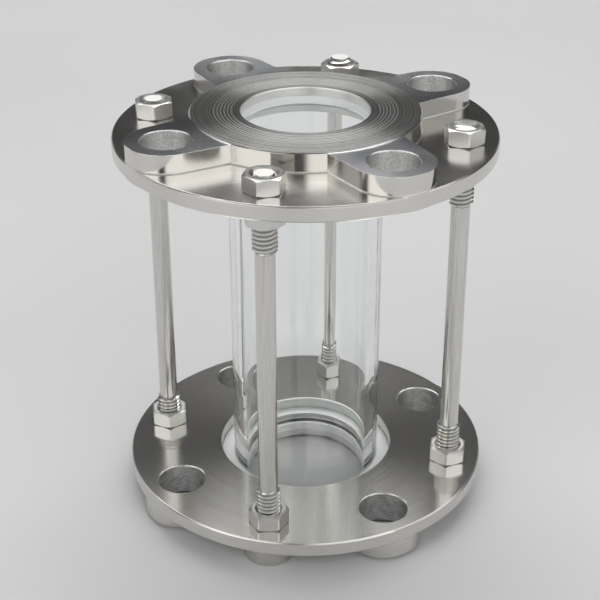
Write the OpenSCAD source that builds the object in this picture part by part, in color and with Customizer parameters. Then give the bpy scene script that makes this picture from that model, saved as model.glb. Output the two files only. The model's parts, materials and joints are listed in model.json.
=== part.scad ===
// Flanged tubular sight glass.
// Two lugged flanges hold a glass tube between cup seals. Four double-ended studs tie them together,
// and the round nuts on the studs' lower ends are the feet that the assembly stands on.
// Z runs up the tube's axis, and z = 0 is the plane of the feet. Studs lie on the X and Y axes.

/* [Overall] */
// Distance between the outer faces of the two raised faces
face_to_face = 135; // [90:0.5:300]

/* [Flanges] */
// Diameter of the flat raised face that the line gasket seals on
raised_face_d = 73; // [72:0.5:110]
// Thickness of each flange plate
plate_t = 5; // [3:0.1:10]
// Height of the raised face above the plate
raised_face_h = 6.4; // [4:0.1:12]
// Height of the bolt lugs above the plate
lug_h = 6; // [3:0.1:12]
// Diameter of the holes for the line bolts
bolt_hole_d = 15.9; // [10:0.1:22]
// Wall of a lug around its bolt hole
lug_wall = 4.65; // [3:0.05:7]
// Width of a lug where it meets the raised boss
lug_root_w = 27; // [24:0.5:34]
// Land between the raised face's edge and a bolt hole
bolt_land = 4.75; // [2:0.05:10]
// Amount by which the plate's rim trims the lugs' round ends
rim_trim = 0.3; // [0:0.05:1]
// Chamfer round the rim of each plate
rim_chamfer = 0.4; // [0.1:0.05:1]
// Chamfer round the raised face
face_chamfer = 0.5; // [0.1:0.05:1]
// Edge break on bores and holes
hole_chamfer = 0.3; // [0.1:0.05:0.8]
// Spacing of the turned grooves in the raised face
groove_pitch = 1.1; // [0.8:0.05:2]
// Depth of the turned grooves
groove_depth = 0.12; // [0.05:0.01:0.2]

/* [Glass and seals] */
// Outside diameter of the glass tube
glass_d = 50.5; // [36:0.5:60]
// Wall of the glass tube
glass_wall = 4.25; // [2.5:0.05:6]
// Radius on the tube's melted end edges
glass_edge_r = 0.8; // [0.2:0.05:1.2]
// Step from the glass tube's inside to the smaller flange bore
bore_step = 0.5; // [0:0.05:2]
// Radial width of a seal's cup wall
seal_wall = 4.2; // [2:0.1:6]
// Thickness of the seal under the end of the glass
seal_t = 2.5; // [1:0.1:5]
// Height of the seal's cup wall above its base
seal_cup_h = 2.1; // [1:0.1:4]
// Depth of the seat bored into the inner side of a flange
seat_depth = 8.5; // [6:0.1:9.5]
// Radial clearance between the glass and the seal's cup
glass_clear = 0.1; // [0.05:0.05:0.5]
// Radial clearance between a seal and its seat
seal_clear = 0.2; // [0.05:0.05:0.5]

/* [Studs and nuts] */
// Outside diameter of the stud thread
thread_d = 7.9; // [6:0.1:9.6]
// Pitch of the stud thread
thread_pitch = 1.41; // [1:0.01:1.5]
// Diameter of the plain shank between the two threads
shank_d = 6.2; // [4:0.1:6.8]
// Thread that shows below the nut under the upper plate
upper_thread_spare = 9.4; // [9:0.1:20]
// Thread that shows above the nut on the lower plate
lower_thread_spare = 8; // [3:0.1:20]
// Distance across the flats of the nuts
nut_af = 11.6; // [11:0.1:17]
// Height of a nut
nut_h = 5.4; // [3:0.1:8]
// Clearance of the studs in the plates' holes, on the diameter
stud_hole_clear = 1; // [0.2:0.1:2]
// Gap between a nut's corners and the raised boss
nut_boss_gap = 7; // [1:0.1:10]
// Radial clearance in the threads
thread_clear = 0.08; // [0.04:0.01:0.2]

/* [Feet] */
// Diameter of the round foot nuts
foot_d = 16.5; // [12:0.5:20]
// Distance by which the feet reach below the lower raised face
foot_reach = 0.8; // [0.2:0.1:10]
// Chamfer round the ends of a foot
foot_chamfer = 0.5; // [0.1:0.1:1.5]
// Height of a stud's lower tip above the plane of the feet
stud_inset = 2.6; // [2.1:0.1:4.5]

/* [Hidden] */

// Places round the axis of the four studs, counted front, right, back, left
front = 0;
right = 1;
back = 2;
left = 3;
stud_angle = [-90, 0, 90, 180];
// How far each stud's upper tip stands above its top nut
stud_rise = [0, -1.5, 2, 0.3];
// How much longer each stud's lower thread is than the first one's
lower_thread_extra = [0, 0.8, 0, -2.2];
// How much longer each stud's upper thread is than the first one's
upper_thread_extra = [0, 0, -8.5, 0];
// How far each nut is turned about its stud
top_nut_turn = [27.5, -9, 13, 52.5];
upper_lock_nut_turn = [53, 20, 40, 5];
lower_lock_nut_turn = [14.2, 34.7, 28, 49.2];

// Angle from a stud to the next bolt hole
bolt_offset_angle = 45;
bolt_count = 4;

// Glass and seals
glass_r = glass_d / 2;
glass_bore_r = glass_r - glass_wall;
bore_r = glass_bore_r - bore_step;
seal_r = glass_r + glass_clear + seal_wall;
seat_r = seal_r + seal_clear;

// Flanges, from the raised face outwards
face_r = raised_face_d / 2;
boss_r = face_r + face_chamfer;
bolt_circle_r = face_r + bolt_land + bolt_hole_d / 2;
lug_r = bolt_hole_d / 2 + lug_wall;
flange_r = bolt_circle_r + lug_r - rim_trim;
groove_edge_land = 0.7;
groove_count = floor((face_r - bore_r - hole_chamfer - 2 * groove_edge_land) / groove_pitch);

// Threads: ridges lie at whole multiples of the pitch, so every stud and nut is in step
thread_r = thread_d / 2;
thread_depth = 0.6 * thread_pitch;
root_r = thread_r - thread_depth;
crest_half = thread_pitch / 16;
ridge_half = thread_pitch * 3 / 8;
tip_chamfer = 1;
shank_r = shank_d / 2;
mouth_r = thread_r + 0.55;

// Nuts
nut_corner_r = nut_af / 2 / cos(30);
nut_face_r = 0.48 * nut_af;
nut_chamfer_h = (nut_corner_r - nut_face_r) * tan(30);
stud_circle_r = boss_r + nut_boss_gap + nut_corner_r;
stud_hole_r = (thread_d + stud_hole_clear) / 2;
foot_r = foot_d / 2;

// Levels up the axis
lower_face_z = foot_reach;
lower_plate_z = lower_face_z + raised_face_h;
lower_inner_z = lower_plate_z + plate_t;
upper_face_z = lower_face_z + face_to_face;
upper_plate_z = upper_face_z - raised_face_h;
upper_inner_z = upper_plate_z - plate_t;
foot_h = lower_plate_z;
top_nut_end_z = upper_plate_z + nut_h;
upper_thread_l = 2 * nut_h + plate_t + upper_thread_spare;
seat_floor_t = plate_t + raised_face_h - seat_depth;
glass_l = face_to_face - 2 * (seat_floor_t + seal_t);

// Overlap that lets cutters pass cleanly through what they cut
through = 1;
round_facets = 128;
$fn = round_facets;

// One flange, with its inner face at z = 0 and its raised face up
module flange_body() {
    difference() {
        union() {
            plate_disc();
            raised_boss();
            intersection() {
                bolt_lugs();
                cylinder(r = flange_r, h = plate_t + lug_h);
            }
        }
        flow_bore();
        bolt_holes();
        stud_holes();
    }
}

// Round plate with both rim edges chamfered
module plate_disc() {
    rotate_extrude()
        polygon([
            [0, 0],
            [flange_r - rim_chamfer, 0],
            [flange_r, rim_chamfer],
            [flange_r, plate_t - rim_chamfer],
            [flange_r - rim_chamfer, plate_t],
            [0, plate_t]
        ]);
}

// Three outline points of one turned groove, counted inwards from the raised face's edge
function groove_points(i, face_z) =
    let (r = face_r - groove_edge_land - groove_pitch * i)
    [[r, face_z], [r - groove_depth, face_z - groove_depth], [r - 2 * groove_depth, face_z]];

// Central boss that carries the grooved raised face
module raised_boss() {
    face_z = plate_t + raised_face_h;
    grooves = [for (i = [0 : groove_count - 1]) each groove_points(i, face_z)];
    rotate_extrude()
        polygon(concat(
            [[0, 0], [boss_r, 0], [boss_r, face_z - face_chamfer], [face_r, face_z]],
            grooves,
            [[0, face_z]]
        ));
}

// Lugs round the bolt holes: round ends, with sides that spread towards the boss
module bolt_lugs() {
    root_y = lug_root_w / 2;
    root_x = sqrt(boss_r * boss_r - root_y * root_y);
    reach = norm([bolt_circle_r - root_x, root_y]);
    side_angle = atan2(root_y, root_x - bolt_circle_r) - acos(lug_r / reach);
    side_x = bolt_circle_r + lug_r * cos(side_angle);
    side_y = lug_r * sin(side_angle);
    for (i = [0 : bolt_count - 1])
        rotate([0, 0, bolt_offset_angle + i * 360 / bolt_count])
            union() {
                linear_extrude(height = plate_t + lug_h)
                    polygon([
                        [0, root_y], [root_x, root_y], [side_x, side_y],
                        [side_x, -side_y], [root_x, -root_y], [0, -root_y]
                    ]);
                translate([bolt_circle_r, 0, 0])
                    cylinder(r = lug_r, h = plate_t + lug_h);
            }
}

// Flow bore, and the seat for the seal and the glass behind it
module flow_bore() {
    face_z = plate_t + raised_face_h;
    rotate_extrude()
        polygon([
            [0, -through],
            [seat_r + hole_chamfer + through, -through],
            [seat_r, hole_chamfer],
            [seat_r, seat_depth],
            [bore_r, seat_depth],
            [bore_r, face_z - hole_chamfer],
            [bore_r + hole_chamfer + through, face_z + through],
            [0, face_z + through]
        ]);
}

// Round hole with both edges broken, from z = 0 up to z = h
module broken_hole(r, h) {
    rotate_extrude()
        polygon([
            [0, -through],
            [r + hole_chamfer + through, -through],
            [r, hole_chamfer],
            [r, h - hole_chamfer],
            [r + hole_chamfer + through, h + through],
            [0, h + through]
        ]);
}

module bolt_holes() {
    for (i = [0 : bolt_count - 1])
        rotate([0, 0, bolt_offset_angle + i * 360 / bolt_count])
            translate([bolt_circle_r, 0, 0])
                broken_hole(bolt_hole_d / 2, plate_t + lug_h);
}

module stud_holes() {
    for (angle = stud_angle)
        rotate([0, 0, angle])
            translate([stud_circle_r, 0, 0])
                broken_hole(stud_hole_r, plate_t);
}

module upper_flange() {
    color("gainsboro")
        translate([0, 0, upper_inner_z])
            flange_body();
}

module lower_flange() {
    color("silver")
        translate([0, 0, lower_inner_z])
            mirror([0, 0, 1])
                flange_body();
}

// Quarter-round corner points of a tube end, centred on [r, z], from one angle to the next
function corner(r, z, from, to) =
    [for (a = [from : (to - from) / 6 : to]) [r + glass_edge_r * cos(a), z + glass_edge_r * sin(a)]];

// Glass tube with melted, rounded ends, seated on both seals
module glass_tube() {
    inner = glass_bore_r + glass_edge_r;
    outer = glass_r - glass_edge_r;
    low = glass_edge_r;
    high = glass_l - glass_edge_r;
    color([0.8, 0.93, 0.9, 0.4])
        translate([0, 0, lower_face_z + seat_floor_t + seal_t])
            rotate_extrude()
                polygon(concat(
                    corner(inner, low, 180, 270),
                    corner(outer, low, 270, 360),
                    corner(outer, high, 0, 90),
                    corner(inner, high, 90, 180)
                ));
}

// Cup seal with its flat base at z = 0: the base bears on the seat, the wall locates the glass
module seal_cup() {
    cup_r = glass_r + glass_clear;
    rotate_extrude()
        polygon([
            [bore_r, 0],
            [seal_r, 0],
            [seal_r, seal_t + seal_cup_h],
            [cup_r, seal_t + seal_cup_h],
            [cup_r, seal_t],
            [bore_r, seal_t]
        ]);
}

module upper_gasket() {
    color("white")
        translate([0, 0, upper_face_z - seat_floor_t])
            mirror([0, 0, 1])
                seal_cup();
}

module lower_gasket() {
    color("white")
        translate([0, 0, lower_face_z + seat_floor_t])
            seal_cup();
}

// Outline points of one thread ridge at height z, grown outwards by a clearance
function ridge(z, grow) = [
    [root_r + grow, z - ridge_half],
    [thread_r + grow, z - crest_half],
    [thread_r + grow, z + crest_half],
    [root_r + grow, z + ridge_half]
];

// Outline points of every whole ridge that lies between two heights
function ridges(from, to, grow) =
    let (first = ceil((from + ridge_half) / thread_pitch))
    let (last = floor((to - ridge_half) / thread_pitch))
    [for (k = [first : last]) each ridge(k * thread_pitch, grow)];

// Holds an outline inside the chamfers at a stud's two tips
function in_tips(points, low, high) =
    [for (p = points) [min(p[0], thread_r - tip_chamfer + min(p[1] - low, high - p[1])), p[1]]];

// Double-ended stud with a waisted shank
module stud(place) {
    high = top_nut_end_z + stud_rise[place];
    low = stud_inset + stud_rise[place];
    lower_end = lower_inner_z + nut_h + lower_thread_spare + lower_thread_extra[place];
    upper_start = high - upper_thread_l - upper_thread_extra[place];
    outline = concat(
        [[root_r, low]],
        ridges(low, lower_end, 0),
        [[root_r, lower_end], [shank_r, lower_end + thread_depth]],
        [[shank_r, upper_start - thread_depth], [root_r, upper_start]],
        ridges(upper_start, high, 0),
        [[root_r, high]]
    );
    color("lightgray")
        rotate([0, 0, stud_angle[place]])
            translate([stud_circle_r, 0, 0])
                rotate_extrude()
                    polygon(concat([[0, low]], in_tips(outline, low, high), [[0, high]]));
}

// Threaded hole between two heights, with a countersunk mouth at each end
module tapped_hole(low, high) {
    rotate_extrude()
        polygon(concat(
            [[0, low - 2 * thread_pitch]],
            ridges(low - 2 * thread_pitch, high + 2 * thread_pitch, thread_clear),
            [[0, high + 2 * thread_pitch]]
        ));
    for (end = [[low, 1], [high, -1]])
        translate([0, 0, end[0]])
            mirror([0, 0, end[1] < 0 ? 1 : 0])
                rotate_extrude()
                    polygon([
                        [0, -through],
                        [mouth_r + through, -through],
                        [mouth_r - thread_depth, thread_depth],
                        [0, thread_depth]
                    ]);
}

// Hexagon nut with both faces chamfered, its lower face at height z
module nut(place, z, turn) {
    color("lightgray")
        rotate([0, 0, stud_angle[place]])
            translate([stud_circle_r, 0, 0])
                difference() {
                    translate([0, 0, z])
                        rotate([0, 0, turn - stud_angle[place]])
                            intersection() {
                                cylinder(r = nut_corner_r, h = nut_h, $fn = 6);
                                nut_chamfers();
                            }
                    tapped_hole(z, z + nut_h);
                }
}

// Round body that trims a hexagon's corners at both faces
module nut_chamfers() {
    waist_r = nut_corner_r + through;
    waist_h = nut_chamfer_h + through * tan(30);
    rotate_extrude()
        polygon([
            [0, 0],
            [nut_face_r, 0],
            [waist_r, waist_h],
            [waist_r, nut_h - waist_h],
            [nut_face_r, nut_h],
            [0, nut_h]
        ]);
}

// Round nut under the lower plate, which is also a foot
module foot_nut(place) {
    color("darkgray")
        rotate([0, 0, stud_angle[place]])
            translate([stud_circle_r, 0, 0])
                difference() {
                    rotate_extrude()
                        polygon([
                            [0, 0],
                            [foot_r - foot_chamfer, 0],
                            [foot_r, foot_chamfer],
                            [foot_r, foot_h - foot_chamfer],
                            [foot_r - foot_chamfer, foot_h],
                            [0, foot_h]
                        ]);
                    tapped_hole(0, foot_h);
                }
}

module top_nut(place) { nut(place, upper_plate_z, top_nut_turn[place]); }
module upper_lock_nut(place) { nut(place, upper_inner_z - nut_h, upper_lock_nut_turn[place]); }
module lower_lock_nut(place) { nut(place, lower_inner_z, lower_lock_nut_turn[place]); }

upper_flange();
lower_flange();
glass_tube();
upper_gasket();
lower_gasket();
stud(front);  // stud_front
stud(right);  // stud_right
stud(back);  // stud_back
stud(left);  // stud_left
top_nut(front);  // top_nut_front
top_nut(right);  // top_nut_right
top_nut(back);  // top_nut_back
top_nut(left);  // top_nut_left
upper_lock_nut(front);  // upper_lock_nut_front
upper_lock_nut(right);  // upper_lock_nut_right
upper_lock_nut(back);  // upper_lock_nut_back
upper_lock_nut(left);  // upper_lock_nut_left
lower_lock_nut(front);  // lower_lock_nut_front
lower_lock_nut(right);  // lower_lock_nut_right
lower_lock_nut(back);  // lower_lock_nut_back
lower_lock_nut(left);  // lower_lock_nut_left
foot_nut(front);  // foot_nut_front
foot_nut(right);  // foot_nut_right
foot_nut(back);  // foot_nut_back
foot_nut(left);  // foot_nut_left
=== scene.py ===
"""Looks of the flanged tubular sight glass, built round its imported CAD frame."""

import json
import math

import bmesh
import bpy
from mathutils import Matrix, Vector


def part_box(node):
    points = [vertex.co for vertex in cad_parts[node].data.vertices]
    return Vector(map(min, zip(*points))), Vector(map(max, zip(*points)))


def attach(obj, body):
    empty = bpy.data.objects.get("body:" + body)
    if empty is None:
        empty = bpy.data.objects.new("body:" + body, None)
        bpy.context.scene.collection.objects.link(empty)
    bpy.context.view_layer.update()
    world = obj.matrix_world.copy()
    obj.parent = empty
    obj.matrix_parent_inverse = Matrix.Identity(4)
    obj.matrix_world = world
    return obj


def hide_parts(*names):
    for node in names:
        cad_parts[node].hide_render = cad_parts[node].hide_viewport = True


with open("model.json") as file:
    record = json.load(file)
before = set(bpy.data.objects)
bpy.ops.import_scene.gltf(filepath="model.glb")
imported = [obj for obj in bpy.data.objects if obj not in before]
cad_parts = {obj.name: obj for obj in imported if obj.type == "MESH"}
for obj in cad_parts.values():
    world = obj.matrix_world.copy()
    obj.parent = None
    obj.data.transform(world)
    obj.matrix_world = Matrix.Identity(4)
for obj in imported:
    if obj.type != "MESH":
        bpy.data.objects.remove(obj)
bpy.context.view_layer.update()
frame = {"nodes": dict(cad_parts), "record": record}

MM = 0.001
BODY = "root"
PLACES = ("front", "right", "back", "left")
TURN = 2 * math.pi

# ---------------------------------------------------------------- sizes read from the frame
MOUNTS = {m["name"]: m for m in frame["record"]["mounts"]}
BOLT_CIRCLE_R = MOUNTS["upper_bolts"]["dims"]["pcd_mm"] * MM / 2
BOLT_HOLE_R = MOUNTS["upper_bolts"]["dims"]["hole_r_mm"] * MM
UPPER_LUG_Z = MOUNTS["upper_bolts"]["pos_m"][2]
LOWER_LUG_Z = MOUNTS["lower_bolts"]["pos_m"][2]
UPPER_FACE_Z = MOUNTS["upper_face"]["pos_m"][2]
LOWER_FACE_Z = MOUNTS["lower_face"]["pos_m"][2]


def span(node, axis):
    """Lowest and highest coordinate of a CAD node along one axis."""
    low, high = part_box(node)
    return low[axis], high[axis]


def centre(node):
    """Middle of a CAD node's box."""
    low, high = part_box(node)
    return (low + high) / 2


UPPER_INNER_Z, _ = span("upper_flange", 2)
_, LOWER_INNER_Z = span("lower_flange", 2)
FLANGE_R = span("upper_flange", 0)[1]
UPPER_PLATE_Z, _ = span("top_nut_front", 2)
_, LOWER_PLATE_Z = span("foot_nut_front", 2)
SEAT_R = span("lower_gasket", 0)[1]
STUD_CIRCLE_R = centre("stud_right")[0]

# ---------------------------------------------------------------- sizes of the threads and nuts
THREAD_R = (span("stud_front", 0)[1] - span("stud_front", 0)[0]) / 2
PITCH = 1.41 * MM
THREAD_DEPTH = 0.6 * PITCH
ROOT_R = THREAD_R - THREAD_DEPTH
CREST_HALF = PITCH / 16
RIDGE_HALF = PITCH * 3 / 8
SHANK_R = 3.1 * MM
TIP_CHAMFER = 1 * MM
COUNTERSINK = 0.55 * MM
MOUTH_R = THREAD_R + COUNTERSINK
THREAD_CLEAR = 0.08 * MM
NUT_H = 5.4 * MM
NUT_FLAT_R = 5.8 * MM
NUT_FACE_R = 5.57 * MM
NUT_EDGE_ROUND = 0.12 * MM
NUT_CHAMFER_SLOPE = math.tan(math.radians(30))
FOOT_CHAMFER = 0.5 * MM

# A hexagon: its sides, and the degrees from one corner to the next and from a flat's middle to a corner
SIDES = 6
SIXTH = 360 // SIDES
TWELFTH = SIXTH // 2
NUT_CORNER_R = NUT_FLAT_R / math.cos(math.radians(TWELFTH)) - NUT_EDGE_ROUND

# Columns of points round a piece
STUD_COLUMNS = 64
FOOT_COLUMNS = 96

# Columns along a nut's flat, in degrees from its middle: the last one before the corner, and the step
FLAT_LAST = 24
FLAT_STEP = 6

# Thread that shows beyond the nuts, and how much each stud differs from the front one
UPPER_THREAD_SPARE = 9.4 * MM
LOWER_THREAD_SPARE = 8 * MM
LOWER_THREAD_EXTRA = {"front": 0, "right": 0.8 * MM, "back": 0, "left": -2.2 * MM}
UPPER_THREAD_EXTRA = {"front": 0, "right": 0, "back": -8.5 * MM, "left": 0}
UPPER_THREAD_L = (UPPER_PLATE_Z - UPPER_INNER_Z) + 2 * NUT_H + UPPER_THREAD_SPARE

# Where each stud's helix starts, in turns, and how far each nut is turned about its stud, in degrees
THREAD_PHASE = {"front": 0.1, "right": 0.55, "back": 0.3, "left": 0.8}
TURNS = {
    "top_nut": {"front": 27.5, "right": -9, "back": 13, "left": 52.5},
    "upper_lock_nut": {"front": 53, "right": 20, "back": 40, "left": 5},
    "lower_lock_nut": {"front": 14.2, "right": 34.7, "back": 28, "left": 49.2},
}


# ---------------------------------------------------------------- mesh helpers
WELD_DISTANCE = 2e-6
SLIVER_LENGTH = 1e-7
SHARP_ANGLE = math.radians(25)

# Outline points that one thread ridge has
RIDGE_POINTS = 4


def finish_mesh(name, mesh, material, node):
    """Welds and shades a mesh, and puts it in the place of one CAD node."""
    shaped = bmesh.new()
    shaped.from_mesh(mesh)
    bmesh.ops.remove_doubles(shaped, verts=shaped.verts, dist=WELD_DISTANCE)
    bmesh.ops.dissolve_degenerate(shaped, edges=shaped.edges, dist=SLIVER_LENGTH)
    bmesh.ops.recalc_face_normals(shaped, faces=shaped.faces)
    shaped.to_mesh(mesh)
    shaped.free()
    mesh.shade_smooth()
    mesh.set_sharp_from_angle(angle=SHARP_ANGLE)
    mesh.materials.append(material)
    piece = bpy.data.objects.new(name, mesh)
    bpy.context.scene.collection.objects.link(piece)
    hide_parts(node)
    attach(piece, BODY)
    return piece


def thread_rows(low, high, phase):
    """Heights, before the helix rises, and radii of the ridges' outline points between two levels."""
    first = math.floor((low - phase) / PITCH) - 1
    last = math.ceil((high - phase) / PITCH) + 1
    rows = []
    for turn in range(first, last + 1):
        base = phase + turn * PITCH
        rows.append((base - RIDGE_HALF, ROOT_R))
        rows.append((base - CREST_HALF, THREAD_R))
        rows.append((base + CREST_HALF, THREAD_R))
        rows.append((base + RIDGE_HALF, ROOT_R))
    return rows


class Lathe:
    """Collects rings of points round one upright axis and the faces between them."""

    def __init__(self, x, y, angles):
        """Starts empty, with the axis at x and y and a column of points at each angle."""
        self.x, self.y, self.angles = x, y, angles
        self.points, self.faces = [], []

    def ring(self, radius, height):
        """Adds one ring; radius and height may be numbers or functions of the angle."""
        start = len(self.points)
        for angle in self.angles:
            r = radius(angle) if callable(radius) else radius
            z = height(angle) if callable(height) else height
            self.points.append((self.x + r * math.cos(angle), self.y + r * math.sin(angle), z))
        return start

    def bridge(self, lower, upper):
        """Faces between two rings."""
        count = len(self.angles)
        for i in range(count):
            j = (i + 1) % count
            self.faces.append((lower + i, lower + j, upper + j, upper + i))

    def cap(self, ring, height):
        """Fan that closes a ring at one level."""
        middle = len(self.points)
        self.points.append((self.x, self.y, height))
        count = len(self.angles)
        for i in range(count):
            self.faces.append((ring + i, ring + (i + 1) % count, middle))

    def helix(self, low, high, phase, limit):
        """Helical thread between two levels; limit(r, z) trims the radius. Returns its end rings."""
        rows = thread_rows(low - PITCH, high + PITCH, phase)
        count = len(self.angles)
        start = len(self.points)
        for base, r in rows:
            for angle in self.angles:
                z = min(max(base + PITCH * (angle / TURN), low), high)
                trimmed = limit(r, z)
                self.points.append(
                    (self.x + trimmed * math.cos(angle), self.y + trimmed * math.sin(angle), z)
                )
        for row in range(len(rows) - 1):
            for i in range(count - 1):
                a = start + row * count + i
                self.faces.append((a, a + 1, a + count + 1, a + count))
        for row in range(len(rows) - RIDGE_POINTS - 1):
            a = start + row * count + count - 1
            b = start + (row + RIDGE_POINTS) * count
            self.faces.append((a, b, b + count, a + count))
        low_ring = self.ring(limit(ROOT_R, low), low)
        high_ring = self.ring(limit(ROOT_R, high), high)
        return low_ring, high_ring

    def mesh(self, name):
        """The collected points and faces as one mesh."""
        mesh = bpy.data.meshes.new(name)
        mesh.from_pydata(self.points, [], self.faces)
        return mesh


def even_angles(count):
    """Evenly spaced angles, one for each column."""
    return [TURN * i / count for i in range(count)]


# ---------------------------------------------------------------- studs
def thread_ends(place):
    """Upper end of a stud's lower thread and lower end of its upper thread."""
    lower_end = LOWER_INNER_Z + NUT_H + LOWER_THREAD_SPARE + LOWER_THREAD_EXTRA[place]
    upper_start = span(f"stud_{place}", 2)[1] - UPPER_THREAD_L - UPPER_THREAD_EXTRA[place]
    return lower_end, upper_start


def stud(place, material):
    """Double-ended stud with a helical thread at each end and a plain waisted shank."""
    node = f"stud_{place}"
    x, y, _ = centre(node)
    low, high = span(node, 2)
    lower_end, upper_start = thread_ends(place)
    lathe = Lathe(x, y, even_angles(STUD_COLUMNS))

    def lower_limit(r, z):
        """Trims the lower thread at the stud's chamfered tip and where it runs out into the shank."""
        tip = THREAD_R - TIP_CHAMFER + (z - low)
        runout = SHANK_R + (lower_end - z)
        return min(r, tip, runout)

    def upper_limit(r, z):
        """Trims the upper thread in the same two ways."""
        tip = THREAD_R - TIP_CHAMFER + (high - z)
        runout = SHANK_R + (z - upper_start)
        return min(r, tip, runout)

    phase = THREAD_PHASE[place] * PITCH
    bottom, lower_top = lathe.helix(low, lower_end, phase, lower_limit)
    upper_bottom, top = lathe.helix(upper_start, high, phase, upper_limit)
    lathe.bridge(lower_top, upper_bottom)
    lathe.cap(bottom, low)
    lathe.cap(top, high)
    finish_mesh(f"{node}_threaded", lathe.mesh(node), material, node)


# ---------------------------------------------------------------- nuts and feet
def nut_angles(turn):
    """Column angles of a hexagon nut: even along each flat, with one at each side of a rounded edge."""
    edge = math.degrees(math.acos(NUT_FLAT_R / NUT_CORNER_R))
    along_flat = range(-FLAT_LAST, FLAT_LAST + 1, FLAT_STEP)
    steps = (-edge, *along_flat, edge, TWELFTH)
    middles = [turn + TWELFTH + side * SIXTH for side in range(SIDES)]
    return sorted(math.radians(middle + step) % TURN for middle in middles for step in steps)


def internal_thread(lathe, low, high, phase):
    """Helical thread in a hole, opened by a countersink at each end."""

    def limit(r, z):
        """Opens the thread to the countersink near either end."""
        mouth = max(MOUTH_R - (z - low), MOUTH_R - (high - z))
        return max(r + THREAD_CLEAR, mouth)

    return lathe.helix(low, high, phase, limit)


def hexagon_nut(kind, place, material):
    """Hexagon nut with rounded edges, chamfered faces and a countersunk helical thread."""
    node = f"{kind}_{place}"
    x, y, _ = centre(f"stud_{place}")
    low, high = span(node, 2)
    turn = TURNS[kind][place]
    lathe = Lathe(x, y, nut_angles(turn))

    def hexagon_r(angle):
        """Radius of the nut's outline, with its corners rounded off."""
        from_flat = (math.degrees(angle) - turn) % SIXTH - TWELFTH
        return min(NUT_FLAT_R / math.cos(math.radians(from_flat)), NUT_CORNER_R)

    def drop(angle):
        """How far the chamfer falls from the flat face to the outline."""
        return max(0, hexagon_r(angle) - NUT_FACE_R) * NUT_CHAMFER_SLOPE

    hole_low, hole_high = internal_thread(lathe, low, high, THREAD_PHASE[place] * PITCH)
    rings = [
        hole_low,
        lathe.ring(NUT_FACE_R, low),
        lathe.ring(hexagon_r, lambda angle: low + drop(angle)),
        lathe.ring(hexagon_r, lambda angle: high - drop(angle)),
        lathe.ring(NUT_FACE_R, high),
        hole_high,
    ]
    for inner, outer in zip(rings, rings[1:]):
        lathe.bridge(inner, outer)
    finish_mesh(f"{node}_tapped", lathe.mesh(node), material, node)


def foot(place, material):
    """Round nut under the lower plate, with both ends chamfered."""
    node = f"foot_nut_{place}"
    x, y, _ = centre(node)
    low, high = span(node, 2)
    outer = (span(node, 0)[1] - span(node, 0)[0]) / 2
    lathe = Lathe(x, y, even_angles(FOOT_COLUMNS))
    hole_low, hole_high = internal_thread(lathe, low, high, THREAD_PHASE[place] * PITCH)
    rings = [
        hole_low,
        lathe.ring(outer - FOOT_CHAMFER, low),
        lathe.ring(outer, low + FOOT_CHAMFER),
        lathe.ring(outer, high - FOOT_CHAMFER),
        lathe.ring(outer - FOOT_CHAMFER, high),
        hole_high,
    ]
    for inner, outside in zip(rings, rings[1:]):
        lathe.bridge(inner, outside)
    finish_mesh(f"{node}_turned", lathe.mesh(node), material, node)


# ---------------------------------------------------------------- materials
# The span that most of a noise's values lie in
NOISE_LOW, NOISE_HIGH = 0.25, 0.75

# Octaves of a noise, and how much of each one reaches the next
FEW, SOME, MANY = 2, 3, 4
SOFT, PLAIN, HARSH = 0.5, 0.6, 0.7
EDGE_SAMPLES = 4


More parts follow.
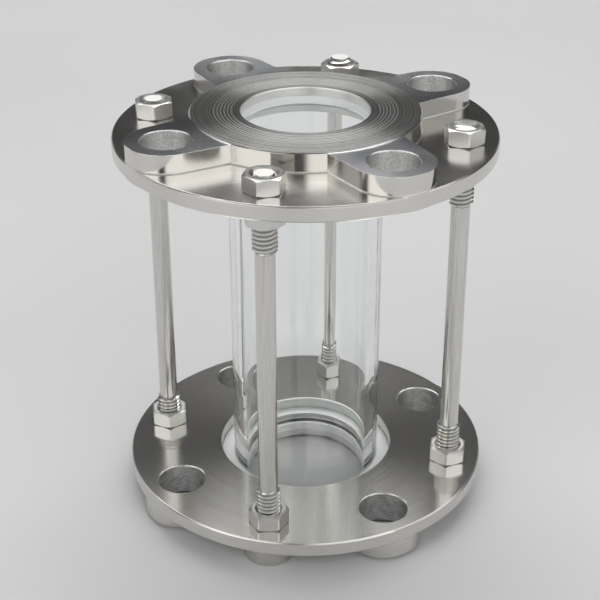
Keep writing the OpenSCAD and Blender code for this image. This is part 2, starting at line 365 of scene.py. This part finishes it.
class Graph:
    """Short names for building one material's nodes."""

    def __init__(self, name, **settings):
        """Makes the material, with constants on its shader, and the part's own coordinates in millimetres."""
        self.material = bpy.data.materials.new(name)
        self.material.use_nodes = True
        self.tree = self.material.node_tree
        self.shader = self.tree.nodes["Principled BSDF"]
        for socket, value in settings.items():
            self.shader.inputs[socket.replace("_", " ")].default_value = value
        place = self.add("ShaderNodeTexCoord")
        self.normal = place.outputs["Normal"]
        scaled = self.add("ShaderNodeVectorMath", operation="SCALE")
        scaled.inputs["Scale"].default_value = 1 / MM
        self.link(place.outputs["Object"], scaled.inputs[0])
        self.point = scaled.outputs[0]
        self.x, self.y, self.z = self.parts(self.point)
        self.r = self.math("SQRT", self.math("ADD", self.square(self.x), self.square(self.y)))
        self.angle = self.math("ARCTAN2", self.y, self.x)

    def add(self, kind, **properties):
        """New node with its properties set."""
        node = self.tree.nodes.new(kind)
        for key, value in properties.items():
            setattr(node, key, value)
        return node

    def link(self, value, socket):
        """Joins a socket to another one, or gives it a constant."""
        if isinstance(value, bpy.types.NodeSocket):
            self.tree.links.new(value, socket)
        else:
            socket.default_value = value

    def parts(self, vector):
        """The three components of a vector."""
        node = self.add("ShaderNodeSeparateXYZ")
        self.link(vector, node.inputs[0])
        return node.outputs

    def vector(self, x, y, z):
        """Vector made of three components."""
        node = self.add("ShaderNodeCombineXYZ")
        for value, socket in zip((x, y, z), node.inputs):
            self.link(value, socket)
        return node.outputs[0]

    def stretched(self, across, along):
        """The point, with X and Y scaled by one number and Z by another."""
        sides = (self.times(value, across) for value in (self.x, self.y))
        return self.vector(*sides, self.times(self.z, along))

    def math(self, operation, *values):
        """Result of one math node."""
        node = self.add("ShaderNodeMath", operation=operation)
        for value, socket in zip(values, node.inputs):
            self.link(value, socket)
        return node.outputs[0]

    def square(self, value):
        """A value times itself."""
        return self.math("MULTIPLY", value, value)

    def times(self, a, b):
        """Product of two values."""
        return self.math("MULTIPLY", a, b)

    def near(self, value, target, tolerance):
        """One where the value is within the tolerance of the target, else zero."""
        return self.math("COMPARE", value, target, tolerance)

    def mix(self, factor, a, b):
        """Number between a and b."""
        node = self.add("ShaderNodeMix", data_type="FLOAT")
        for value, socket in zip((factor, a, b), (node.inputs[0], node.inputs[2], node.inputs[3])):
            self.link(value, socket)
        return node.outputs[0]

    def blend(self, factor, a, b):
        """Colour between a and b."""
        node = self.add("ShaderNodeMix", data_type="RGBA")
        for value, socket in zip((factor, a, b), (node.inputs[0], node.inputs[6], node.inputs[7])):
            self.link(value, socket)
        return node.outputs[2]

    def mottled(self, noise, a, b):
        """Colour that wanders between a and b as a noise does."""
        return self.blend(self.spread(noise, 0.0, 1.0), a, b)

    def noise(self, vector, scale, detail=SOME, rough=PLAIN):
        """Fractal noise at a vector."""
        node = self.add("ShaderNodeTexNoise")
        self.link(vector, node.inputs["Vector"])
        node.inputs["Scale"].default_value = scale
        node.inputs["Detail"].default_value = detail
        node.inputs["Roughness"].default_value = rough
        return node.outputs["Fac"]

    def spread(self, value, low, high):
        """Maps the usual span of a noise onto low..high."""
        node = self.add("ShaderNodeMapRange")
        self.link(value, node.inputs["Value"])
        node.inputs["From Min"].default_value = NOISE_LOW
        node.inputs["From Max"].default_value = NOISE_HIGH
        node.inputs["To Min"].default_value = low
        node.inputs["To Max"].default_value = high
        return node.outputs["Result"]

    def bump(self, height, depth, edge=None):
        """Relief of the given depth, on edges softened over the radius edge if there is one."""
        node = self.add("ShaderNodeBump")
        self.link(height, node.inputs["Height"])
        node.inputs["Distance"].default_value = depth
        node.inputs["Strength"].default_value = 1
        if edge is not None:
            rounded = self.add("ShaderNodeBevel", samples=EDGE_SAMPLES)
            self.link(edge, rounded.inputs["Radius"])
            self.link(rounded.outputs["Normal"], node.inputs["Normal"])
        self.link(node.outputs["Normal"], self.shader.inputs["Normal"])

    def set(self, socket, value):
        """Feeds one of the shader's own sockets."""
        self.link(value, self.shader.inputs[socket])


BUMP_DEPTH = 0.00001
FINE_BUMP_DEPTH = 0.000006
GLASS_WAVE_DEPTH = 0.00004
SEAL_BUMP_DEPTH = 0.00003

# Upright part of the normal above which a surface counts as level
LEVEL_NORMAL = 0.9

# Edges of the flanges' zones, in millimetres
LEVEL_SLACK = 0.1
GROOVE_SLACK = 0.2
FACE_ZONE_R = 36.8
RIM_ZONE = 0.42
RIM_SLACK = 0.01
HOLE_SLACK = 0.15
SEAT_SLACK = 0.4

# Radii of the fillet at the foot of the lugs and boss, and of the softened edges
FILLET = 0.4 * MM
EDGE_ROUND = 0.3 * MM
FACE_EDGE_ROUND = 0.03 * MM

# Noise cells per millimetre across the turning marks, and how far those wander from true circles
RING_SCALE = 4.0
FINE_RING_SCALE = 7.0
RIM_LINE_SCALE = 9.0
RING_WANDER = 0.12
SMUDGE_SCALE = 0.07
SPECKLE_SCALE = 1.7

# Marks that the drill left in the lower holes: pitch in millimetres, unevenness and strength
DRILL_PITCH = 0.75
DRILL_WOBBLE_SCALE = 0.4
DRILL_WOBBLE = 7.0
DRILL_SHARE = 0.35

# Streaks along a wall or a drawn bar: noise cells per millimetre across them and along them
WALL_STREAKS = (5.0, 0.25)
BAR_STREAKS = (6.0, 0.08)
BAR_HARSHNESS = 0.65

# Turned surfaces spread light across their marks, a quarter turn from the tangent
TURNED_ANISOTROPY = 0.7
QUARTER_TURN = 0.25

STEEL = (0.66, 0.65, 0.63, 1)
WARM_STEEL = (0.72, 0.70, 0.66, 1)
COOL_STEEL = (0.56, 0.57, 0.59, 1)
FACE_STEEL = (0.62, 0.62, 0.60, 1)
# Painted light: the bore's walls are coloured brighter than the steel round them, as if lit from above and
# the front
BORE_PAINTED_LIGHT = (0.84, 0.84, 0.82, 1)
# Painted highlight: a brighter band along the foot of the lugs and boss
FILLET_PAINTED_HIGHLIGHT = (0.9, 0.9, 0.87, 1)
# Hole walls' dark and bright tones; on the lower holes' drill rings they are painted shade in the grooves and
# painted highlight on the ridges
HOLE_DARK, HOLE_BRIGHT = (0.42, 0.42, 0.42, 1), (0.9, 0.9, 0.88, 1)

# Lowest and highest roughness of each zone of a flange
WALL_ROUGH = (0.09, 0.17)
PLATE_ROUGH = (0.16, 0.24)
INNER_ROUGH = (0.11, 0.19)
RIM_ROUGH = (0.18, 0.3)
FACE_ROUGH = (0.2, 0.34)
LUG_ROUGH = (0.22, 0.3)
HOLE_ROUGH = (0.25, 0.5)
BORE_ROUGH = 0.38
FILLET_ROUGH = 0.4

# Relief of each zone, in bump depths
WALL_RELIEF = 0.12
PLATE_RELIEF = 0.5
INNER_RELIEF = 0.08
RIM_RELIEF = 0.5
FACE_RELIEF = 0.4
LUG_RELIEF = 0.6
HOLE_RELIEF = 6.0


# Brings a sine wave into the span from zero to one
HALF = 0.5


def drill_marks(g):
    """Rings of a drill in a hole's wall, broken up by an uneven surface."""
    wobble = g.noise(g.point, DRILL_WOBBLE_SCALE)
    turn = g.math("ADD", g.times(g.z, TURN / DRILL_PITCH), g.times(wobble, DRILL_WOBBLE))
    wave = g.math("ADD", g.times(g.math("SINE", turn), HALF), HALF)
    return g.mix(DRILL_SHARE, wobble, wave)


def flange_material(name, inner_z, plate_z, lug_z, face_z, drilled):
    """Stainless steel whose finish changes from face to face, as each one was machined, with painted light in
    the bore, a painted highlight along the fillet and painted shade and highlight on the lower holes' drill
    rings.
    """
    g = Graph(name, Metallic=1.0, Anisotropic=TURNED_ANISOTROPY, Anisotropic_Rotation=QUARTER_TURN)
    tangent = g.add("ShaderNodeTangent", direction_type="RADIAL", axis="Z")
    g.set("Tangent", tangent.outputs[0])

    # Zones: one on the surface that each is named after, zero elsewhere
    flat = g.math("GREATER_THAN", g.math("ABSOLUTE", g.parts(g.normal)[2]), LEVEL_NORMAL)
    inner = g.times(flat, g.near(g.z, inner_z / MM, LEVEL_SLACK))
    plate = g.times(flat, g.near(g.z, plate_z / MM, LEVEL_SLACK))
    lug = g.times(flat, g.near(g.z, lug_z / MM, LEVEL_SLACK))
    face = g.times(g.near(g.z, face_z / MM, GROOVE_SLACK), g.math("LESS_THAN", g.r, FACE_ZONE_R))
    plate_middle = (inner_z + plate_z) / 2 / MM
    plate_half = abs(inner_z - plate_z) / 2 / MM
    at_rim = g.math("GREATER_THAN", g.r, FLANGE_R / MM - RIM_ZONE)
    rim = g.times(at_rim, g.near(g.z, plate_middle, plate_half + RIM_SLACK))
    from_plate = g.times(g.math("SUBTRACT", g.z, plate_z / MM), math.copysign(1, lug_z - plate_z))
    side = BOLT_CIRCLE_R / MM * math.cos(math.pi / 4)
    from_hole = g.math("SQRT", g.math(
        "ADD",
        g.square(g.math("SUBTRACT", g.math("ABSOLUTE", g.x), side)),
        g.square(g.math("SUBTRACT", g.math("ABSOLUTE", g.y), side)),
    ))
    hole = g.math("LESS_THAN", from_hole, BOLT_HOLE_R / MM + HOLE_SLACK)
    foot = g.times(
        g.math("SUBTRACT", 1.0, g.math("MAXIMUM", flat, hole)),
        g.near(from_plate, FILLET / MM / 2, FILLET / MM / 2),
    )
    bore = g.times(
        g.math("LESS_THAN", g.r, SEAT_R / MM + SEAT_SLACK),
        g.math("SUBTRACT", 1.0, flat),
    )

    # Marks of the tools
    cos_a = g.times(g.math("COSINE", g.angle), RING_WANDER)
    sin_a = g.times(g.math("SINE", g.angle), RING_WANDER)
    rings = g.noise(g.vector(g.times(g.r, RING_SCALE), cos_a, sin_a), 1.0, MANY, HARSH)
    fine_rings = g.noise(g.vector(g.times(g.r, FINE_RING_SCALE), cos_a, sin_a), 1.0, FEW)
    rim_lines = g.noise(g.vector(g.times(g.z, RIM_LINE_SCALE), cos_a, sin_a), 1.0)
    streaks = g.noise(g.stretched(*WALL_STREAKS), 1.0)
    speckle = drill_marks(g) if drilled else g.noise(g.point, SPECKLE_SCALE, SOME, HARSH)
    smudges = g.noise(g.point, SMUDGE_SCALE, SOME, SOFT)

    rough = g.spread(streaks, *WALL_ROUGH)
    rough = g.mix(plate, rough, g.spread(smudges, *PLATE_ROUGH))
    rough = g.mix(inner, rough, g.spread(rings, *INNER_ROUGH))
    rough = g.mix(rim, rough, g.spread(rim_lines, *RIM_ROUGH))
    rough = g.mix(face, rough, g.spread(fine_rings, *FACE_ROUGH))
    rough = g.mix(lug, rough, g.spread(smudges, *LUG_ROUGH))
    rough = g.mix(bore, rough, BORE_ROUGH)
    rough = g.mix(hole, rough, g.spread(speckle, *HOLE_ROUGH))
    g.set("Roughness", g.mix(foot, rough, FILLET_ROUGH))

    colour = g.mottled(smudges, STEEL, WARM_STEEL)
    colour = g.blend(lug, colour, COOL_STEEL)
    colour = g.blend(face, colour, FACE_STEEL)
    # Painted light: the bore and seat walls are coloured brighter than the rest of the steel
    colour = g.blend(bore, colour, BORE_PAINTED_LIGHT)
    # The hole walls' tone follows the speckle; in the drilled lower holes its bands follow the drill rings,
    # painted shade in the grooves and painted highlight on the ridges
    colour = g.blend(hole, colour, g.mottled(speckle, HOLE_DARK, HOLE_BRIGHT))
    # Painted highlight: the fillet band at the foot of the walls is coloured brighter than the steel
    g.set("Base Color", g.blend(foot, colour, FILLET_PAINTED_HIGHLIGHT))

    height = g.times(streaks, WALL_RELIEF)
    height = g.mix(plate, height, g.times(smudges, PLATE_RELIEF))
    height = g.mix(inner, height, g.times(rings, INNER_RELIEF))
    height = g.mix(rim, height, g.times(rim_lines, RIM_RELIEF))
    height = g.mix(face, height, g.times(fine_rings, FACE_RELIEF))
    height = g.mix(lug, height, g.times(smudges, LUG_RELIEF))
    height = g.mix(hole, height, g.times(speckle, HOLE_RELIEF))
    slope = g.times(g.math("SUBTRACT", FILLET / MM, from_plate), MM / BUMP_DEPTH)
    height = g.mix(foot, height, slope)
    g.bump(height, BUMP_DEPTH, edge=g.mix(face, EDGE_ROUND, FACE_EDGE_ROUND))
    return g.material


# Colours of the drawn bar and of a thread's crests, and the painted shade in a thread's roots
BAR_DARK, BAR_BRIGHT = (0.48, 0.47, 0.45, 1), (0.82, 0.81, 0.78, 1)
CREST_STEEL = (0.84, 0.83, 0.80, 1)
ROOT_PAINTED_SHADE = (0.40, 0.40, 0.39, 1)
BAR_ROUGH = (0.14, 0.26)
THREAD_ROUGH = 0.27
END_ROUGH = 0.55

# Share of a thread's depth over which the painted shade in the roots fades, and how softly it stops
ROOT_FADE = 1.2
ROOT_FADE_SOFT = 0.2


def stud_material(place):
    """Bright drawn bar: fine streaks along it, and painted shade darkening the roots of its threads."""
    lower_end, upper_start = thread_ends(place)
    g = Graph(f"drawn_stainless_{place}", Metallic=1.0)
    streaks = g.noise(g.stretched(*BAR_STREAKS), 1.0, MANY, BAR_HARSHNESS)

    # Every stud stands on the X or Y axis, so one distance serves all four
    off_x, off_y = g.math("ABSOLUTE", g.x), g.math("ABSOLUTE", g.y)
    across = g.math("MINIMUM", off_x, off_y)
    along = g.math("SUBTRACT", g.math("MAXIMUM", off_x, off_y), STUD_CIRCLE_R / MM)
    from_axis = g.math("SQRT", g.math("ADD", g.square(across), g.square(along)))
    thread = g.math(
        "MAXIMUM",
        g.math("LESS_THAN", g.z, lower_end / MM),
        g.math("GREATER_THAN", g.z, upper_start / MM),
    )
    end = g.math("GREATER_THAN", g.math("ABSOLUTE", g.parts(g.normal)[2]), LEVEL_NORMAL)
    depth = g.math("DIVIDE", g.math("SUBTRACT", from_axis, ROOT_R / MM), (THREAD_R - ROOT_R) / MM)
    crest = g.math("SMOOTH_MIN", g.times(depth, ROOT_FADE), 1.0, ROOT_FADE_SOFT)
    root = g.times(g.math("SUBTRACT", thread, end), g.math("SUBTRACT", 1.0, crest))

    colour = g.mottled(streaks, BAR_DARK, BAR_BRIGHT)
    colour = g.blend(thread, colour, CREST_STEEL)
    # Painted shade: the roots of the threads are coloured darker than the crests
    g.set("Base Color", g.blend(root, colour, ROOT_PAINTED_SHADE))
    rough = g.mix(thread, g.spread(streaks, *BAR_ROUGH), THREAD_ROUGH)
    g.set("Roughness", g.mix(end, rough, END_ROUGH))
    g.bump(streaks, FINE_BUMP_DEPTH)
    return g.material


NUT_MOTTLE_SCALE = 1.6
NUT_DARK, NUT_BRIGHT = (0.60, 0.60, 0.58, 1), (0.72, 0.71, 0.69, 1)
NUT_ROUGH = (0.27, 0.36)


def nut_material():
    """Bright pressed stainless steel with faintly uneven faces."""
    g = Graph("bright_stainless", Metallic=1.0)
    mottle = g.noise(g.point, NUT_MOTTLE_SCALE, MANY)
    g.set("Base Color", g.mottled(mottle, NUT_DARK, NUT_BRIGHT))
    g.set("Roughness", g.spread(mottle, *NUT_ROUGH))
    g.bump(mottle, FINE_BUMP_DEPTH)
    return g.material


FOOT_LINE_SCALE = 7.0
FOOT_MOTTLE_SCALE = 0.8
FOOT_DARK, FOOT_BRIGHT = (0.52, 0.51, 0.49, 1), (0.62, 0.61, 0.59, 1)
FOOT_ROUGH = (0.26, 0.42)


def foot_material():
    """Turned satin steel."""
    g = Graph("satin_stainless", Metallic=1.0)
    lines = g.noise(g.vector(0.0, 0.0, g.times(g.z, FOOT_LINE_SCALE)), 1.0, MANY, HARSH)
    mottle = g.noise(g.point, FOOT_MOTTLE_SCALE)
    g.set("Base Color", g.mottled(mottle, FOOT_DARK, FOOT_BRIGHT))
    g.set("Roughness", g.spread(lines, *FOOT_ROUGH))
    g.bump(lines, BUMP_DEPTH)
    return g.material


GLASS_IOR = 1.473
GLASS_WAVES = (0.12, 0.015)
GLASS_GREEN, GLASS_CLEAR = (0.975, 0.99, 0.985, 1), (0.985, 0.995, 0.99, 1)


def glass_material():
    """Clear drawn borosilicate tube with a faint waviness from the drawing."""
    g = Graph("borosilicate", Roughness=0.0, IOR=GLASS_IOR, Transmission_Weight=1.0)
    waves = g.noise(g.stretched(*GLASS_WAVES), 1.0, FEW, SOFT)
    g.set("Base Color", g.mottled(waves, GLASS_GREEN, GLASS_CLEAR))
    g.bump(waves, GLASS_WAVE_DEPTH)
    return g.material


SEAL_WAX = {"Subsurface_Weight": 0.15, "Subsurface_Scale": 1 * MM, "IOR": 1.35}
SEAL_MOTTLE_SCALE = 0.5
SEAL_DARK, SEAL_BRIGHT = (0.90, 0.91, 0.91, 1), (0.94, 0.95, 0.95, 1)
SEAL_ROUGH = (0.3, 0.42)


def seal_material():
    """Smooth white fluoropolymer, slightly waxy."""
    g = Graph("white_fluoropolymer", **SEAL_WAX)
    mottle = g.noise(g.point, SEAL_MOTTLE_SCALE, SOME, SOFT)
    g.set("Base Color", g.mottled(mottle, SEAL_DARK, SEAL_BRIGHT))
    g.set("Roughness", g.spread(mottle, *SEAL_ROUGH))
    g.bump(mottle, SEAL_BUMP_DEPTH)
    return g.material


FLOOR_CLOUD_SCALE = 0.004
FLOOR_DARK, FLOOR_BRIGHT = (0.60, 0.60, 0.605, 1), (0.63, 0.63, 0.635, 1)
FLOOR_ROUGH = (0.55, 0.65)


def floor_material():
    """Plain pale floor, very faintly clouded."""
    g = Graph("pale_floor")
    cloud = g.noise(g.point, FLOOR_CLOUD_SCALE, FEW, SOFT)
    g.set("Base Color", g.mottled(cloud, FLOOR_DARK, FLOOR_BRIGHT))
    g.set("Roughness", g.spread(cloud, *FLOOR_ROUGH))
    return g.material


def dress(node, material):
    """Gives a CAD node its material."""
    mesh = frame["nodes"][node].data
    mesh.materials.clear()
    mesh.materials.append(material)


UPPER_LEVELS = (UPPER_INNER_Z, UPPER_PLATE_Z, UPPER_LUG_Z, UPPER_FACE_Z)
LOWER_LEVELS = (LOWER_INNER_Z, LOWER_PLATE_Z, LOWER_LUG_Z, LOWER_FACE_Z)
dress("upper_flange", flange_material("upper_flange_stainless", *UPPER_LEVELS, drilled=False))
dress("lower_flange", flange_material("lower_flange_stainless", *LOWER_LEVELS, drilled=True))
dress("glass_tube", glass_material())
SEAL = seal_material()
dress("upper_gasket", SEAL)
dress("lower_gasket", SEAL)

NUT, FOOT = nut_material(), foot_material()
for place in PLACES:
    stud(place, stud_material(place))
    foot(place, FOOT)
    for kind in TURNS:
        hexagon_nut(kind, place, NUT)


# ---------------------------------------------------------------- camera, floor and light
def aim(obj, target):
    """Turns an object's -Z axis towards a point."""
    direction = Vector(target) - obj.location
    obj.rotation_mode = "QUATERNION"
    obj.rotation_quaternion = direction.to_track_quat("-Z", "Y")


CAMERA_AZIMUTH = math.radians(13.6)
CAMERA_ELEVATION = math.radians(27.57)
CAMERA_DISTANCE = 0.4773
CAMERA_TARGET_RISE = 0.0586
LENS, SENSOR = 84.94, 36
SHIFT_X, SHIFT_Y = -0.0093, -0.0145
CLIP_NEAR, CLIP_FAR = 0.01, 20


def make_camera():
    """The main camera, which looks down at the part from the front, slightly from the right."""
    target = Vector((0, 0, LOWER_INNER_Z + CAMERA_TARGET_RISE))
    back = Vector((
        math.sin(CAMERA_AZIMUTH) * math.cos(CAMERA_ELEVATION),
        -math.cos(CAMERA_AZIMUTH) * math.cos(CAMERA_ELEVATION),
        math.sin(CAMERA_ELEVATION),
    ))
    data = bpy.data.cameras.new("camera")
    data.lens = LENS
    data.sensor_width = SENSOR
    data.shift_x = SHIFT_X
    data.shift_y = SHIFT_Y
    data.clip_start = CLIP_NEAR
    data.clip_end = CLIP_FAR
    camera = bpy.data.objects.new("camera", data)
    bpy.context.scene.collection.objects.link(camera)
    camera.location = target + back * CAMERA_DISTANCE
    aim(camera, target)
    bpy.context.scene.camera = camera


def area_light(name, place, target, size, power):
    """Square lamp that faces a point."""
    data = bpy.data.lights.new(name, "AREA")
    data.shape = "RECTANGLE"
    data.size = size
    data.size_y = size
    data.energy = power
    lamp = bpy.data.objects.new(name, data)
    bpy.context.scene.collection.objects.link(lamp)
    lamp.location = place
    aim(lamp, target)


# Brightness of the room at the horizon, just above it and overhead, and the horizon's upper edge
HORIZON_LEVEL, LOW_LEVEL, TOP_LEVEL = 0.42, 0.03, 0.12
HORIZON_BAND = (0.08, 0.17)
LEAST_FLAT = 0.001
ZENITH = 90

# Soft panels: azimuth from +X towards +Y, elevation, half width, half height, soft edge, power
PANELS = (
    (-122, 30, 28, 24, 4, 1.55),
    (-42, 30, 33, 24, 4, 1.5),
    (172, 32, 12, 26, 9, 0.55),
    (14, 30, 14, 28, 9, 0.8),
    (103, 55, 50, 13, 5, 4.0),
)


class Sky:
    """Room light painted on the world: a dim room, a pale horizon and soft-edged bright panels."""

    def __init__(self, horizon_level, low_level, top_level):
        """Makes the world, with the room's own light and no panel yet."""
        world = bpy.data.worlds.new("studio")
        bpy.context.scene.world = world
        world.use_nodes = True
        self.tree = world.node_tree
        self.background = self.tree.nodes["Background"]
        place = self.tree.nodes.new("ShaderNodeTexCoord")
        parts = self.tree.nodes.new("ShaderNodeSeparateXYZ")
        self.tree.links.new(place.outputs["Generated"], parts.inputs[0])
        self.x, self.y, self.z = parts.outputs
        flat = self.math("SQRT", self.dot(self.x, self.y))
        self.flat = self.math("MAXIMUM", flat, LEAST_FLAT)
        dome = self.ramp(self.z, 0.0, 1.0, low_level, top_level)
        horizon = self.ramp(self.z, *HORIZON_BAND, horizon_level, 0.0)
        self.light = self.math("ADD", dome, horizon)

    def math(self, operation, *values):
        """Result of one math node."""
        node = self.tree.nodes.new("ShaderNodeMath")
        node.operation = operation
        for value, socket in zip(values, node.inputs):
            if isinstance(value, bpy.types.NodeSocket):
                self.tree.links.new(value, socket)
            else:
                socket.default_value = value
        return node.outputs[0]

    def dot(self, a, b):
        """The direction's X and Y parts, weighed by a and b and added."""
        return self.math("ADD", self.math("MULTIPLY", self.x, a), self.math("MULTIPLY", self.y, b))

    def ramp(self, value, low, high, low_out, high_out):
        """Smooth step from one level to another."""
        node = self.tree.nodes.new("ShaderNodeMapRange")
        node.interpolation_type = "SMOOTHSTEP"
        self.tree.links.new(value, node.inputs["Value"])
        for socket, number in zip(list(node.inputs)[1:5], (low, high, low_out, high_out)):
            socket.default_value = number
        return node.outputs["Result"]

    def panel(self, azimuth, elevation, half_width, half_height, soft, power):
        """One soft-edged panel; angles in degrees, azimuth counted from +X towards +Y."""
        a = math.radians(azimuth)
        along = self.math("DIVIDE", self.dot(math.cos(a), math.sin(a)), self.flat)
        near = math.cos(math.radians(max(half_width - soft, 0)))
        far = math.cos(math.radians(half_width + soft))
        side = self.ramp(along, far, near, 0.0, 1.0)
        bottom = self.ramp(
            self.z,
            math.sin(math.radians(elevation - half_height - soft)),
            math.sin(math.radians(elevation - half_height + soft)),
            0.0, 1.0,
        )
        top = self.ramp(
            self.z,
            math.sin(math.radians(elevation + half_height - soft)),
            math.sin(math.radians(min(elevation + half_height + soft, ZENITH))),
            1.0, 0.0,
        )
        shape = self.math("MULTIPLY", side, self.math("MULTIPLY", bottom, top))
        light = self.math("MULTIPLY", shape, power)
        self.light = self.math("ADD", self.light, light)

    def done(self):
        """Joins the finished light to the world's background."""
        self.tree.links.new(self.light, self.background.inputs["Color"])


def make_world():
    """Lights the scene from the world."""
    sky = Sky(HORIZON_LEVEL, LOW_LEVEL, TOP_LEVEL)
    for panel in PANELS:
        sky.panel(*panel)
    sky.done()


FLOOR_HALF = 3
FLOOR_GAP = 0.03 * MM


def make_floor():
    """Square floor, a hair below the feet so that the two never coincide."""
    corners = [(-1, -1), (1, -1), (1, 1), (-1, 1)]
    mesh = bpy.data.meshes.new("floor")
    points = [(x * FLOOR_HALF, y * FLOOR_HALF, -FLOOR_GAP) for x, y in corners]
    mesh.from_pydata(points, [], [(0, 1, 2, 3)])
    mesh.materials.append(floor_material())
    floor = bpy.data.objects.new("floor", mesh)
    bpy.context.scene.collection.objects.link(floor)


TOP_BOX_PLACE = (0.0, 0.1, 1.0)
TOP_BOX_SIZE = 0.6
TOP_BOX_POWER = 1.2
MIDDLE = (0, 0, 0.07)

make_camera()
make_world()
make_floor()
area_light("top_box", TOP_BOX_PLACE, MIDDLE, TOP_BOX_SIZE, TOP_BOX_POWER)
bpy.context.scene.view_settings.view_transform = "Standard"
